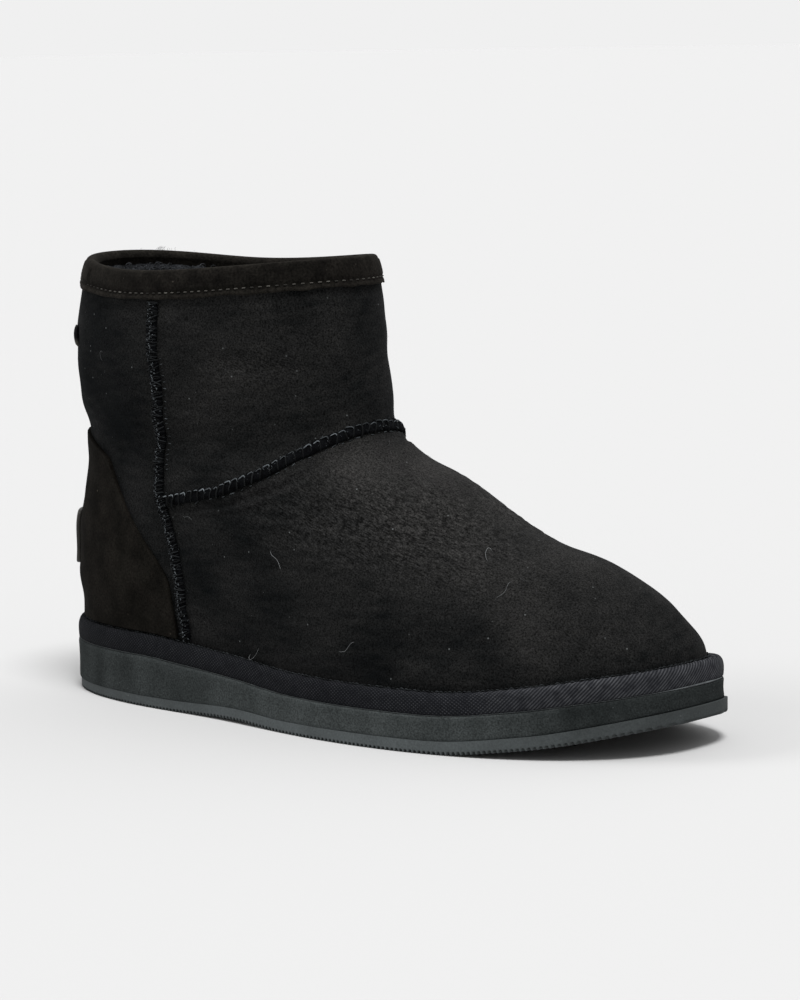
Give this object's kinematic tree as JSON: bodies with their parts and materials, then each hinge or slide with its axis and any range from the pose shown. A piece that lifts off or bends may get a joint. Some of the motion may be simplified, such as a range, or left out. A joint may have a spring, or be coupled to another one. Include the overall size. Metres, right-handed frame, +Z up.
{
  "type": "sheepskin ankle boot",
  "caption": "Right pull-on ankle boot with a hollow upper open at the collar, on a wedge foam midsole and a flat outsole.",
  "frame": {"origin": "under the middle of the boot's box, on the ground", "axes": "+X to the toe, +Z up, the outer side of the foot towards -Y"},
  "size_m": [0.2884, 0.1064, 0.173],
  "materials": {
    "outsole_rubber": "matt grey rubber",
    "midsole_foam": "matt dark grey foam",
    "woven_tape": "twill woven tape",
    "fleece": "dense sheep's wool pile",
    "upper_suede": "napped suede side of a sheepskin",
    "binding_suede": "smooth brown-black suede",
    "counter_suede": "smooth brown-black suede",
    "seam_thread": "overlocked yarn",
    "label_rubber": "bare satin rubber label"
  },
  "bodies": {
    "root": {"outsole": "outsole_rubber", "midsole": "midsole_foam", "rand_tape": "woven_tape", "insole": "fleece", "upper": "upper_suede", "collar_binding": "binding_suede", "side_seam_outer": "seam_thread", "side_seam_inner": "seam_thread", "vamp_seam": "seam_thread", "heel_counter": "counter_suede", "heel_label": "label_rubber", "back_tab": "binding_suede"}
  },
  "joints": []
}
